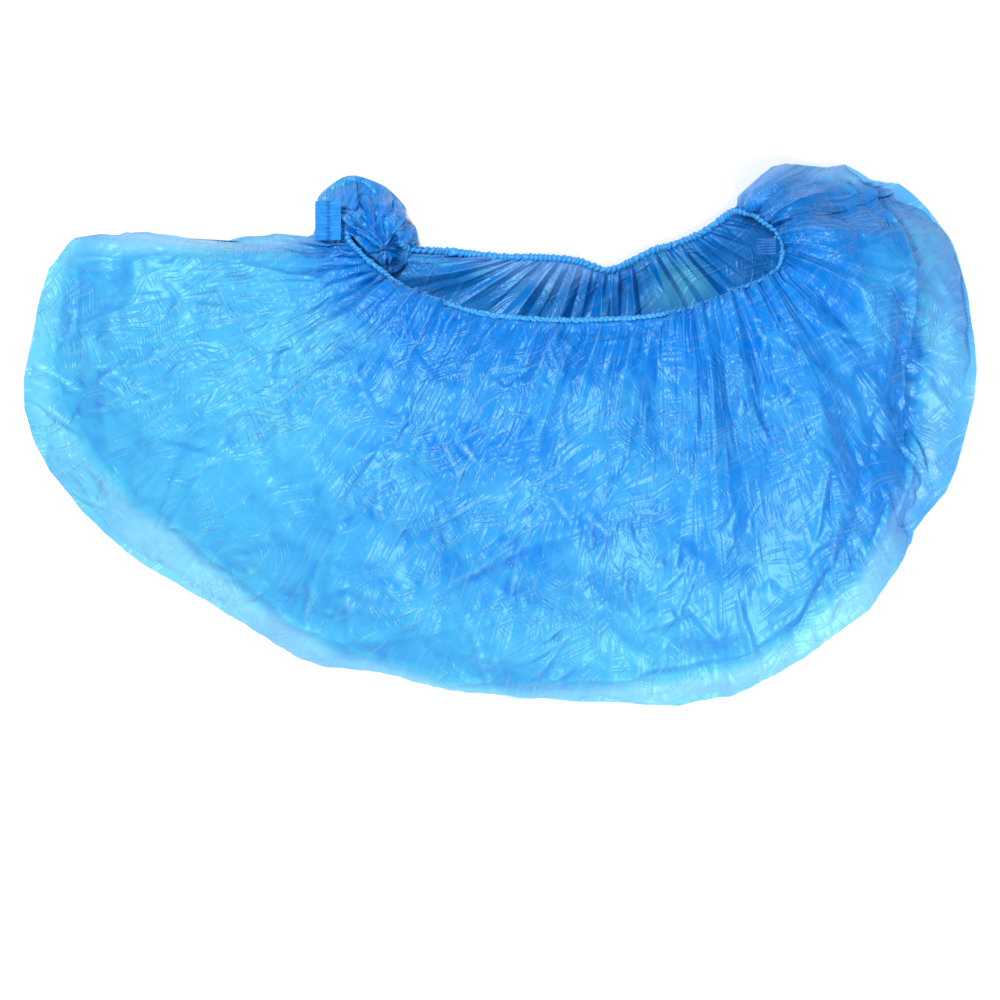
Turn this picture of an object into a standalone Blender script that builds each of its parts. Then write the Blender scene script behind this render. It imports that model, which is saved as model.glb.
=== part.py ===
"""A disposable film shoe cover lying on its side.

The toe points to -X, the heel to +X and the gathered mouth to +Y. The back wall lies
flat on the ground plane, the upper wall bulges over it, and the elastic hem runs round
the mouth as a closed loop. Lengths are in metres, +Z is up.
"""
import math

import bmesh
import bpy
import numpy as np
from mathutils import Vector
from mathutils.bvhtree import BVHTree
from mathutils.geometry import delaunay_2d_cdt

# Overall form
cover_length = 0.400
cover_depth = 0.2276
body_height = 0.040
mouth_height = 0.030
film_wall = 0.0012
# At both ends of the mouth the film is single and thins to this share of the wall
corner_wall_share = 0.15
corner_radius = 0.018
# A gap between neighbouring pieces
piece_gap = 0.0003
# Elastic hem: a bead with one rib for every gather
hem_diameter = 0.0036
hem_rib_depth = 0.0005
hem_rib_pitch = 0.0056
hem_sides = 6
# Gathers that fan out from the hem, deepest a little way below it
gather_depth = 0.0024
back_gather_depth = 0.0030
gather_peak = 0.008
back_panel_depth = 0.030
# The gathered strip of the back wall stands this far off the ground plane
back_panel_lift = 0.0003
# Long folds and shallow crumples pressed in the upper wall
fold_height = 0.0045
fold_width = 0.0090
crumple_height = 0.0016
# Pressed ends of the two hems
toe_tab_length = 0.0118
toe_tab_width = 0.0165
toe_tab_droop = math.radians(28)
toe_tab_shift = 0.0045
heel_tab_length = 0.0080
heel_tab_width = 0.0072
heel_tab_droop = math.radians(25)
heel_tab_shift = 0.0
tab_thickness = 0.0010
tab_rib_depth = 0.0003
tab_rib_pitch = 0.0017
# Mesh fineness
columns_per_section = 3
columns_per_back_section = 6
wall_rows = 12
row_crowding = 0.1
base_spacing = 0.016

# Sections of the upper wall, counted from the mouth's toe end round the toe, the sole
# and the heel to its heel end. hem_along, edge_along: shares of cover_length from the
# toe. hem_across, edge_across: shares of cover_depth from the sole fold. hem_rise:
# share of the way from a hem that lies on the back wall up to mouth_height. hang: 1
# where the film leaves the hem straight down, 0 where it leaves it level. crest: share
# of the bulge up to body_height.
SECTION_COLUMNS = ("hem_along", "hem_across", "hem_rise", "hang", "edge_along", "edge_across", "crest")
SECTIONS = (
    # Toe horn, from its root over the crown to the pressed corner
    (0.404, 0.843, 0.02, 1.0, 0.409, 0.854, 0.00),
    (0.396, 0.852, 0.16, 0.4, 0.404, 0.887, 0.10),
    (0.385, 0.864, 0.22, 0.1, 0.391, 0.924, 0.20),
    (0.371, 0.878, 0.25, 0.0, 0.378, 0.956, 0.20),
    (0.357, 0.888, 0.27, 0.0, 0.355, 0.978, 0.20),
    (0.345, 0.886, 0.29, 0.0, 0.332, 0.972, 0.20),
    (0.340, 0.875, 0.31, 0.0, 0.313, 0.939, 0.10),
    (0.340, 0.863, 0.33, 0.0, 0.308, 0.886, 0.00),
    (0.343, 0.854, 0.36, 0.0, 0.295, 0.865, 0.00),
    # Top edge of the toe
    (0.347, 0.846, 0.40, 0.0, 0.222, 0.863, 0.10),
    (0.352, 0.837, 0.45, 0.0, 0.132, 0.865, 0.30),
    (0.357, 0.828, 0.51, 0.0, 0.063, 0.860, 0.45),
    # Toe
    (0.363, 0.818, 0.59, 0.0, 0.024, 0.801, 0.55),
    (0.371, 0.807, 0.67, 0.0, 0.002, 0.657, 0.65),
    (0.380, 0.794, 0.75, 0.0, 0.006, 0.506, 0.70),
    (0.391, 0.780, 0.81, 0.0, 0.054, 0.376, 0.80),
    (0.406, 0.764, 0.87, 0.0, 0.114, 0.277, 0.85),
    (0.434, 0.745, 0.93, 0.0, 0.201, 0.185, 0.90),
    # Sole fold
    (0.474, 0.723, 0.98, 0.0, 0.279, 0.103, 0.95),
    (0.521, 0.712, 1.00, 0.0, 0.358, 0.066, 1.00),
    (0.571, 0.708, 1.00, 0.0, 0.447, 0.031, 1.00),
    (0.616, 0.710, 1.00, 0.0, 0.532, 0.017, 1.00),
    (0.652, 0.714, 1.00, 0.0, 0.616, 0.007, 1.00),
    (0.684, 0.723, 1.00, 0.0, 0.685, 0.000, 1.00),
    (0.710, 0.736, 1.00, 0.0, 0.748, 0.018, 1.00),
    (0.733, 0.751, 0.97, 0.0, 0.815, 0.087, 0.95),
    (0.754, 0.768, 0.94, 0.0, 0.889, 0.185, 0.90),
    # Heel
    (0.770, 0.780, 0.91, 0.0, 0.922, 0.284, 0.85),
    (0.782, 0.792, 0.88, 0.0, 0.940, 0.345, 0.80),
    (0.790, 0.806, 0.84, 0.0, 0.978, 0.435, 0.80),
    (0.794, 0.827, 0.79, 0.0, 1.000, 0.620, 0.75),
    (0.794, 0.845, 0.73, 0.0, 0.994, 0.764, 0.70),
    (0.791, 0.862, 0.67, 0.0, 0.968, 0.873, 0.60),
    # Heel horn, back to the mouth
    (0.785, 0.876, 0.60, 0.0, 0.925, 0.958, 0.50),
    (0.776, 0.889, 0.51, 0.0, 0.892, 0.972, 0.40),
    (0.768, 0.900, 0.42, 0.0, 0.859, 1.000, 0.35),
    (0.759, 0.908, 0.31, 0.1, 0.813, 0.982, 0.25),
    (0.751, 0.911, 0.18, 0.4, 0.778, 0.964, 0.10),
    (0.743, 0.911, 0.02, 1.0, 0.750, 0.928, 0.00),
)

# The hem along the back wall, from the heel end of the mouth to its toe end, with the
# same shares as hem_along, hem_across and hem_rise above.
BACK_HEM_COLUMNS = ("along", "across", "rise")
BACK_HEM = (
    (0.729, 0.893, 0.00),
    (0.710, 0.871, 0.00),
    (0.684, 0.852, 0.00),
    (0.658, 0.838, 0.00),
    (0.631, 0.814, 0.00),
    (0.610, 0.804, 0.00),
    (0.579, 0.821, 0.00),
    (0.542, 0.827, 0.00),
    (0.500, 0.828, 0.00),
    (0.458, 0.836, 0.00),
    (0.437, 0.839, 0.00),
    (0.420, 0.841, 0.00),
)

# Long folds of the upper wall. The ends are shares of cover_length and cover_depth,
# height is a share of fold_height, and a valley has a negative one.
FOLD_COLUMNS = ("from_along", "from_across", "to_along", "to_across", "height")
FOLDS = (
    # Heel crease and the spread beside it
    (0.939, 0.819, 0.943, 0.509, 1.0),
    (0.805, 0.768, 0.920, 0.435, -0.6),
    # Toe flap and the short dent under it
    (0.059, 0.819, 0.290, 0.819, 0.8),
    (0.057, 0.795, 0.059, 0.685, -0.7),
    # Sweeps from the hem to the sole
    (0.710, 0.685, 0.836, 0.269, 0.9),
    (0.647, 0.666, 0.605, 0.196, -0.7),
    (0.500, 0.666, 0.321, 0.269, 0.8),
    (0.374, 0.694, 0.132, 0.491, -0.7),
    # Folds along the sole
    (0.216, 0.343, 0.332, 0.214, 0.8),
    (0.332, 0.214, 0.479, 0.196, 0.8),
    (0.511, 0.099, 0.679, 0.103, 0.7),
    (0.679, 0.103, 0.794, 0.165, 0.7),
)

# Shallow crumples all over the upper wall, each a train of straight facets. bearing: in
# degrees from +X, wave: its length from crest to crest, height: share of crumple_height.
CRUMPLE_COLUMNS = ("bearing", "wave", "shift", "height")
CRUMPLES = (
    (12, 0.047, 0.3, 1.0),
    (63, 0.061, 0.1, 0.9),
    (108, 0.052, 0.7, 0.8),
    (151, 0.043, 0.5, 1.0),
)

# Sections of the closed hem loop, counted from the toe root, where the tabs sit
toe_tab_section = 6
heel_tab_section = 31
# Both tabs lead off along -X
tab_heading = math.pi

hem_radius = hem_diameter / 2
back_mid_height = film_wall / 2
edge_top_height = film_wall * 2.5
lying_hem_height = film_wall + back_panel_lift + piece_gap + hem_radius
fine_steps = 12


def table(rows, names):
    """The rows of a table as one array for each named column."""
    return dict(zip(names, np.array(rows, float).T))


def smooth_curve(points, steps, closed):
    """Samples of a Catmull-Rom curve through the points, steps of them to a stretch."""
    points = np.asarray(points, float)
    if closed:
        padded = np.vstack([points[-1:], points, points[:2]])
    else:
        first = 2 * points[:1] - points[1:2]
        last = 2 * points[-1:] - points[-2:-1]
        padded = np.vstack([first, points, last])
    p0, p1, p2, p3 = (padded[k:len(padded) - 3 + k, None, :] for k in range(4))
    t = (np.arange(steps) / steps)[None, :, None]
    curve = p1 + 0.5 * t * (p2 - p0 + t * (2 * p0 - 5 * p1 + 4 * p2 - p3 + t * (3 * p1 - p0 - 3 * p2 + p3)))
    curve = curve.reshape(-1, points.shape[1])
    return curve if closed else np.vstack([curve, points[-1:]])


def plan_x(along):
    """X of the film's middle surface at a share of the cover's length."""
    return (np.clip(along, 0, 1) - 0.5) * (cover_length - film_wall)


def plan_y(across):
    """Y of the film's middle surface at a share of the cover's depth."""
    return (np.clip(across, 0, 1) - 0.5) * (cover_depth - film_wall)


def hem_loop():
    """The hem's centre line as a closed curve, with its level outward directions."""
    near = table(SECTIONS, SECTION_COLUMNS)
    back = table(BACK_HEM, BACK_HEM_COLUMNS)
    along = np.concatenate([near["hem_along"], back["along"]])
    across = np.concatenate([near["hem_across"], back["across"]])
    rise = np.concatenate([near["hem_rise"], back["rise"]])
    height = lying_hem_height + rise * (mouth_height - lying_hem_height)
    knots = np.column_stack([plan_x(along), plan_y(across), height])
    loop = smooth_curve(knots, fine_steps, closed=True)
    loop[:, 2] = np.maximum(loop[:, 2], lying_hem_height)
    tangent = np.roll(loop, -1, axis=0) - np.roll(loop, 1, axis=0)
    outward = np.column_stack([tangent[:, 1], -tangent[:, 0], np.zeros(len(loop))])
    outward /= np.linalg.norm(outward, axis=1)[:, None]
    return loop, outward


def gather_wave(count, depth):
    """A zigzag of four columns, zero at both ends of the row of columns."""
    wave = np.array([0.0, 1.0, 0.0, -1.0])[np.arange(count) % 4]
    wave[-1] = 0
    return depth * wave


def gather_reach(distance):
    """Share of the full gather at a distance from the hem: it peaks, then dies away."""
    return distance / gather_peak * np.exp(1 - distance / gather_peak)


def fold_relief(x, y):
    """Sum of rounded ridges and valleys along the folds' straight lines."""
    folds = table(FOLDS, FOLD_COLUMNS)
    relief = np.zeros_like(x)
    for k in range(len(FOLDS)):
        ax, ay = plan_x(folds["from_along"][k]), plan_y(folds["from_across"][k])
        bx, by = plan_x(folds["to_along"][k]), plan_y(folds["to_across"][k])
        run = ((x - ax) * (bx - ax) + (y - ay) * (by - ay)) / ((bx - ax) ** 2 + (by - ay) ** 2)
        run = np.clip(run, 0, 1)
        away = np.hypot(x - ax - run * (bx - ax), y - ay - run * (by - ay))
        relief += folds["height"][k] * np.exp(-(away / fold_width) ** 2)
    return fold_height * relief


def crumple_relief(x, y):
    """Mean of the crumples' zigzag waves, between -1 and 1 times their height."""
    waves = table(CRUMPLES, CRUMPLE_COLUMNS)
    relief = np.zeros_like(x)
    for k in range(len(CRUMPLES)):
        bearing = math.radians(waves["bearing"][k])
        phase = (x * math.cos(bearing) + y * math.sin(bearing)) / waves["wave"][k] + waves["shift"][k]
        relief += waves["height"][k] * (4 * np.abs(phase - np.floor(phase) - 0.5) - 1)
    return crumple_height * relief / len(CRUMPLES)


def upper_wall(loop, outward):
    """Middle surface of the upper wall, [column, row, xyz], from the hem to the edge.

    Each column runs level and straight from the hem to the outline. Its height falls as
    1 - v^p from the hem to the edge, with a hump up to body_height, gathers near the
    hem and the long folds between.
    """
    steps = fine_steps // columns_per_section
    last = (len(SECTIONS) - 1) * fine_steps
    hem = loop[:last + 1:steps]
    out = outward[:last + 1:steps]
    rows = smooth_curve(SECTIONS, columns_per_section, closed=False)
    column = dict(zip(SECTION_COLUMNS, rows.T))

    hang = np.clip(column["hang"], 0, 1) * math.pi / 2
    reach = hem_radius + piece_gap + np.sin(hang) ** 2 * film_wall
    start = hem + out * (reach * np.cos(hang))[:, None]
    start[:, 2] -= reach * np.sin(hang)
    edge = np.column_stack([plan_x(column["edge_along"]), plan_y(column["edge_across"])])

    t = np.linspace(0, 1, wall_rows + 1)
    v = (t - row_crowding * np.sin(2 * math.pi * t))[None, :]
    x = start[:, :1] + (edge[:, :1] - start[:, :1]) * v
    y = start[:, 1:2] + (edge[:, 1:2] - start[:, 1:2]) * v
    crest = np.clip(column["crest"], 0, 1)[:, None]
    edge_height = np.full((len(hem), 1), edge_top_height)
    edge_height[[0, -1]] = back_mid_height
    top = start[:, 2:3]
    z = edge_height + (top - edge_height) * (1 - v ** (1.5 + 1.5 * crest))
    z += np.maximum(body_height - top, 0) * crest ** 2 * np.sin(math.pi * v ** 0.8)
    relief = fold_relief(x, y) + 2 * crumple_relief(x, y)
    z += relief * np.sqrt(4 * v * (1 - v)) * np.minimum(crest * 2, 1)

    spacing = np.hypot(np.gradient(x, axis=0), np.gradient(y, axis=0))
    depth = np.clip((spacing - 2 * film_wall) / 2, 0, gather_depth)
    distance = v * np.linalg.norm(edge - start[:, :2], axis=1)[:, None]
    z += depth * gather_wave(len(hem), 1.0)[:, None] * gather_reach(distance)
    return np.stack([x, y, z], axis=2)


def back_panel(loop):
    """Gathered strip of the back wall under its hem, [column, row, xyz], toe to heel."""
    steps = fine_steps // columns_per_back_section
    first = (len(SECTIONS) - 1) * fine_steps
    hem = np.vstack([loop[first::steps], loop[:1]])[::-1]
    t = np.linspace(0, 1, 6)[None, :] ** 1.6
    distance = t * back_panel_depth
    inset = np.sin(math.pi * np.linspace(0, 1, len(hem)))[:, None] ** 0.5
    top = hem[:, 2:3] - hem_radius - piece_gap - film_wall * (1 - inset / 2)
    settle = np.clip(distance / gather_peak, 0, 1)
    z = back_mid_height + (top - back_mid_height) * (1 - settle ** 2 * (3 - 2 * settle))
    wave = 0.5 * (back_gather_depth + gather_wave(len(hem), back_gather_depth))
    clear = np.maximum(distance - hem_radius - film_wall, 0)
    z = z + wave[:, None] * inset * gather_reach(clear) * (1 - t ** 2)
    z[1:-1] = np.maximum(z[1:-1], back_mid_height + back_panel_lift * (1 - t))
    x = np.repeat(hem[:, :1], t.shape[1], axis=1)
    y = hem[:, 1:2] - distance
    return np.stack([x, y, z], axis=2)


def base_sheet(upper, panel):
    """Vertices and triangles of the flat back wall between the outline and the panel."""
    edge = upper[:, -1].copy()
    edge[1:-1, 2] = back_mid_height
    border = np.vstack([
        edge,
        upper[-1, -2:0:-1],
        panel[-1],
        panel[-2::-1, -1],
        panel[0, -2::-1],
        upper[0, 1:-1],
    ])
    across = np.arange(-cover_depth / 2, cover_depth / 2, base_spacing * math.sin(math.pi / 3))
    along = np.arange(-cover_length / 2, cover_length / 2, base_spacing)
    inner = []
    for row, y in enumerate(across):
        for x in along + (row % 2) * base_spacing / 2:
            if np.hypot(border[:, 0] - x, border[:, 1] - y).min() > base_spacing / 2:
                inner.append((x, y, back_mid_height))
    points = np.vstack([border, inner])
    loop = list(range(len(border)))
    plan = [Vector(point[:2]) for point in points]
    found = delaunay_2d_cdt(plan, [], [loop], 1, 1e-7)
    vertices, faces, sources = found[0], found[2], found[3]
    heights = [points[source[0], 2] if source else back_mid_height for source in sources]
    placed = [(v.x, v.y, z) for v, z in zip(vertices, heights)]
    return placed, [tuple(face) for face in faces]


def add_grid(mesh, points):
    """Add a grid [column, row, xyz] of four-sided faces to a bmesh."""
    columns, rows = points.shape[:2]
    verts = [[mesh.verts.new(points[i, j]) for j in range(rows)] for i in range(columns)]
    for i in range(columns - 1):
        for j in range(rows - 1):
            mesh.faces.new((verts[i][j], verts[i + 1][j], verts[i + 1][j + 1], verts[i][j + 1]))


def new_object(name, mesh, colour, roughness):
    """Make an object with its own material from a finished bmesh."""
    data = bpy.data.meshes.new(name)
    mesh.to_mesh(data)
    mesh.free()
    material = bpy.data.materials.new(name)
    material.use_nodes = True
    shader = material.node_tree.nodes["Principled BSDF"]
    shader.inputs["Base Color"].default_value = (*colour, 1)
    shader.inputs["Roughness"].default_value = roughness
    shader.inputs["Metallic"].default_value = 0
    data.materials.append(material)
    item = bpy.data.objects.new(name, data)
    bpy.context.scene.collection.objects.link(item)
    return item


def film_bag(loop, outward):
    """The one folded film: upper wall, edge strip, gathered panel and flat back wall."""
    upper = upper_wall(loop, outward)
    panel = back_panel(loop)
    mesh = bmesh.new()
    add_grid(mesh, upper)
    add_grid(mesh, panel)
    low = upper[:, -1].copy()
    low[1:-1, 2] = back_mid_height
    add_grid(mesh, np.stack([upper[:, -1], low], axis=1))
    vertices, faces = base_sheet(upper, panel)
    verts = [mesh.verts.new(place) for place in vertices]
    for face in faces:
        mesh.faces.new([verts[k] for k in face])
    bmesh.ops.remove_doubles(mesh, verts=mesh.verts, dist=1e-6)
    bmesh.ops.dissolve_degenerate(mesh, edges=mesh.edges, dist=1e-6)
    loose = [vert for vert in mesh.verts if not vert.link_faces]
    bmesh.ops.delete(mesh, geom=loose, context="VERTS")
    bmesh.ops.recalc_face_normals(mesh, faces=mesh.faces)
    bag = new_object("film_bag", mesh, (0.03, 0.33, 0.85), 0.35)
    thinned = bag.vertex_groups.new(name="wall")
    corners = [Vector(upper[0, 0]), Vector(upper[-1, 0])]
    for vert in bag.data.vertices:
        near = min((vert.co - corner).length for corner in corners)
        thinned.add([vert.index], min(1, (near / corner_radius) ** 2), "REPLACE")
    wall = bag.modifiers.new("film wall", "SOLIDIFY")
    wall.thickness = film_wall
    wall.offset = 0
    wall.use_even_offset = True
    wall.use_quality_normals = True
    wall.vertex_group = thinned.name
    wall.thickness_vertex_group = corner_wall_share
    return bag


def elastic_hem(loop):
    """Ribbed bead along the hem loop, sections at equal steps of its length."""
    closed = np.vstack([loop, loop[:1]])
    length = np.concatenate([[0], np.cumsum(np.linalg.norm(np.diff(closed, axis=0), axis=1))])
    count = 2 * round(length[-1] / hem_rib_pitch)
    places = np.arange(count) / count * length[-1]
    centre = np.column_stack([np.interp(places, length, closed[:, k]) for k in range(3)])
    tangent = np.roll(centre, -1, axis=0) - np.roll(centre, 1, axis=0)
    side = np.column_stack([tangent[:, 1], -tangent[:, 0], np.zeros(count)])
    side /= np.linalg.norm(side, axis=1)[:, None]
    up = np.cross(side, tangent)
    up /= np.linalg.norm(up, axis=1)[:, None]
    radius = hem_radius - hem_rib_depth * (np.arange(count) % 2)
    turn = 2 * math.pi * np.arange(hem_sides) / hem_sides
    ring = side[:, None] * np.cos(turn)[None, :, None] + up[:, None] * np.sin(turn)[None, :, None]
    points = centre[:, None] + radius[:, None, None] * ring

    mesh = bmesh.new()
    verts = [[mesh.verts.new(point) for point in section] for section in points]
    for i in range(count):
        after = (i + 1) % count
        for k in range(hem_sides):
            beside = (k + 1) % hem_sides
            mesh.faces.new((verts[i][k], verts[after][k], verts[after][beside], verts[i][beside]))
    bmesh.ops.recalc_face_normals(mesh, faces=mesh.faces)
    return new_object("elastic_hem", mesh, (0.10, 0.42, 0.88), 0.5)


def ribbed_plate(name, length, width, colour):
    """A plate from x = 0 to length, with ribs along X on its upper side."""
    ribs = max(2, round(width / tab_rib_pitch))
    stations = np.linspace(-width / 2, width / 2, 2 * ribs + 1)
    crests = [tab_thickness - tab_rib_depth * (1 - k % 2) for k in range(len(stations))]
    profile = [(y, z) for y, z in zip(stations, crests)]
    profile += [(width / 2, 0), (-width / 2, 0)]
    mesh = bmesh.new()
    face = mesh.faces.new([mesh.verts.new((0, y, z)) for y, z in profile])
    grown = bmesh.ops.extrude_face_region(mesh, geom=[face])
    moved = [item for item in grown["geom"] if isinstance(item, bmesh.types.BMVert)]
    bmesh.ops.translate(mesh, verts=moved, vec=(length, 0, 0))
    bmesh.ops.recalc_face_normals(mesh, faces=mesh.faces)
    return new_object(name, mesh, colour, 0.4)


def seal_tab(name, loop, section, length, width, droop, shift):
    """Place a ribbed plate with one edge beside the hem, drooping away from it.

    shift moves it along the hem, towards +Y.
    """
    plate = ribbed_plate(name, length, width, (0.05, 0.30, 0.78))
    plate.rotation_euler = (0, droop, tab_heading)
    hem = Vector(loop[section * fine_steps])
    away = Vector((math.cos(tab_heading), math.sin(tab_heading), 0))
    plate.location = hem + away * (hem_radius + piece_gap + tab_thickness * math.sin(droop))
    plate.location.y += shift
    return plate


def lift_clear(plate, film, length, width):
    """Raise a plate straight up until every point of its underside clears the film."""
    bpy.context.view_layer.update()
    tree = BVHTree.FromObject(film, bpy.context.evaluated_depsgraph_get())
    above = 2 * body_height
    down = Vector((0, 0, -1))
    lift = 0
    for x in np.linspace(0, length, 12):
        for y in np.linspace(-width / 2, width / 2, 16):
            point = plate.matrix_world @ Vector((x, y, 0))
            hit = tree.ray_cast(Vector((point.x, point.y, above)), down)[0]
            if hit is not None:
                lift = max(lift, hit.z - point.z + 2 * piece_gap)
    plate.location.z += lift


def build():
    """Clear the scene and model the shoe cover."""
    for item in list(bpy.data.objects):
        bpy.data.objects.remove(item, do_unlink=True)
    loop, outward = hem_loop()
    bag = film_bag(loop, outward)
    elastic_hem(loop)
    toe_tab = seal_tab("toe_seal_tab", loop, toe_tab_section,
                       toe_tab_length, toe_tab_width, toe_tab_droop, toe_tab_shift)
    lift_clear(toe_tab, bag, toe_tab_length, toe_tab_width)
    seal_tab("heel_seal_tab", loop, heel_tab_section,
             heel_tab_length, heel_tab_width, heel_tab_droop, heel_tab_shift)


build()
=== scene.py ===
"""A disposable film shoe cover lying on its side, seen from straight above.

The toe points to -X, the heel to +X and the gathered mouth to +Y, as in the CAD frame.
The film is one folded bag: an upper wall that bulges over a back wall on the floor, both
gathered on one elastic hem, with a pressed seal tab at each end of the mouth.
"""
import math

import bpy
import numpy as np
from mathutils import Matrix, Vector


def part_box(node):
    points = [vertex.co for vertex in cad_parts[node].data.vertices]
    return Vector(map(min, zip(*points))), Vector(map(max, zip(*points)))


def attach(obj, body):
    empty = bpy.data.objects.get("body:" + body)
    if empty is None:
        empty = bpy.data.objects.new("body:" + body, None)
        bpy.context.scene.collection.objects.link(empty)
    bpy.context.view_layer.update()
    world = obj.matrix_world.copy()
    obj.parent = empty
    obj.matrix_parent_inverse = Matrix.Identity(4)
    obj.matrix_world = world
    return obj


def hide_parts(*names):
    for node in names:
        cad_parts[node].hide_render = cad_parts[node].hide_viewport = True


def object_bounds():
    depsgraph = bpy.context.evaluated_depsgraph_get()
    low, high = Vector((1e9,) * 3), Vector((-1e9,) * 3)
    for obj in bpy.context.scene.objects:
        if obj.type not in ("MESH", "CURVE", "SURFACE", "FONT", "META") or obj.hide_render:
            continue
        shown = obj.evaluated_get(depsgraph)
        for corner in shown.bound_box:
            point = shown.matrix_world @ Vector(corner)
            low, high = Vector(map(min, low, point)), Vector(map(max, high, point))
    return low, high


bl_info = {
    "name": "Film shoe cover",
    "version": (1, 0, 0),
    "blender": (4, 5, 0),
    "location": "View3D > Sidebar > Shoe cover",
    "description": "Makes a gathered film shoe cover that lies on its side",
    "category": "Object",
}

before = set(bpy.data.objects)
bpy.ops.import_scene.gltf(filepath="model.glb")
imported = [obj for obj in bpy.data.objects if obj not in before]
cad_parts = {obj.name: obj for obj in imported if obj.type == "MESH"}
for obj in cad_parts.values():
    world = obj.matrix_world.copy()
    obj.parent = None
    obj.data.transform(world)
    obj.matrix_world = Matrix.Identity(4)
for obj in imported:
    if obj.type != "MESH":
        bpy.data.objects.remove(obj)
cad_low, cad_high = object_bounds()
cover_length = cad_high[0] - cad_low[0]
cover_depth = cad_high[1] - cad_low[1]
mm = 0.001

# Sections of the upper wall, counted from the mouth's toe end round the toe, the sole
# and the heel to its heel end. hem_along, edge_along: shares of the cover's length from
# the toe. hem_across, edge_across: shares of its depth from the sole fold. hem_rise:
# share of the way from a hem that lies on the back wall up to the mouth's full height.
# crest: share of the bulge up to the body's full height.
SECTION_NAMES = ("hem_along", "hem_across", "hem_rise", "edge_along", "edge_across", "crest")
SECTIONS = (
    # Toe horn, from its root over the crown to the pressed corner
    (0.404, 0.843, 0.02, 0.409, 0.854, 0.00),
    (0.396, 0.852, 0.16, 0.404, 0.887, 0.10),
    (0.385, 0.864, 0.22, 0.391, 0.924, 0.20),
    (0.371, 0.878, 0.25, 0.378, 0.956, 0.20),
    (0.357, 0.888, 0.27, 0.355, 0.978, 0.20),
    (0.345, 0.886, 0.29, 0.332, 0.972, 0.20),
    (0.340, 0.875, 0.31, 0.313, 0.939, 0.10),
    (0.340, 0.863, 0.33, 0.308, 0.886, 0.00),
    (0.343, 0.854, 0.36, 0.295, 0.865, 0.00),
    # Top edge of the toe
    (0.347, 0.846, 0.40, 0.222, 0.863, 0.10),
    (0.352, 0.837, 0.45, 0.132, 0.865, 0.30),
    (0.357, 0.828, 0.51, 0.063, 0.860, 0.45),
    # Toe
    (0.363, 0.818, 0.59, 0.024, 0.801, 0.55),
    (0.371, 0.807, 0.67, 0.002, 0.657, 0.65),
    (0.380, 0.794, 0.75, 0.006, 0.506, 0.70),
    (0.391, 0.780, 0.81, 0.054, 0.376, 0.80),
    (0.406, 0.764, 0.87, 0.114, 0.277, 0.85),
    (0.434, 0.745, 0.93, 0.201, 0.185, 0.90),
    # Sole fold
    (0.474, 0.723, 0.98, 0.279, 0.103, 0.95),
    (0.521, 0.712, 1.00, 0.358, 0.066, 1.00),
    (0.571, 0.708, 1.00, 0.447, 0.031, 1.00),
    (0.616, 0.710, 1.00, 0.532, 0.017, 1.00),
    (0.652, 0.714, 1.00, 0.616, 0.007, 1.00),
    (0.684, 0.723, 1.00, 0.685, 0.000, 1.00),
    (0.710, 0.736, 1.00, 0.748, 0.018, 1.00),
    (0.733, 0.751, 0.97, 0.815, 0.087, 0.95),
    (0.754, 0.768, 0.94, 0.889, 0.185, 0.90),
    # Heel
    (0.770, 0.780, 0.91, 0.922, 0.284, 0.85),
    (0.782, 0.792, 0.88, 0.940, 0.345, 0.80),
    (0.790, 0.806, 0.84, 0.978, 0.435, 0.80),
    (0.794, 0.827, 0.79, 1.000, 0.620, 0.75),
    (0.794, 0.845, 0.73, 0.994, 0.764, 0.70),
    (0.791, 0.862, 0.67, 0.968, 0.873, 0.60),
    # Heel horn, back to the mouth
    (0.785, 0.876, 0.60, 0.925, 0.958, 0.50),
    (0.776, 0.889, 0.51, 0.892, 0.972, 0.40),
    (0.768, 0.900, 0.42, 0.859, 1.000, 0.35),
    (0.759, 0.908, 0.31, 0.813, 0.982, 0.25),
    (0.751, 0.911, 0.18, 0.778, 0.964, 0.10),
    (0.743, 0.911, 0.02, 0.750, 0.928, 0.00),
)

# The hem along the back wall, from the heel end of the mouth to its toe end: shares of
# the cover's length and depth. It lies on the back wall all along.
BACK_HEM = (
    (0.729, 0.893),
    (0.710, 0.871),
    (0.684, 0.852),
    (0.658, 0.838),
    (0.631, 0.814),
    (0.610, 0.804),
    (0.579, 0.821),
    (0.542, 0.827),
    (0.500, 0.828),
    (0.458, 0.836),
    (0.437, 0.839),
    (0.420, 0.841),
)

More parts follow.
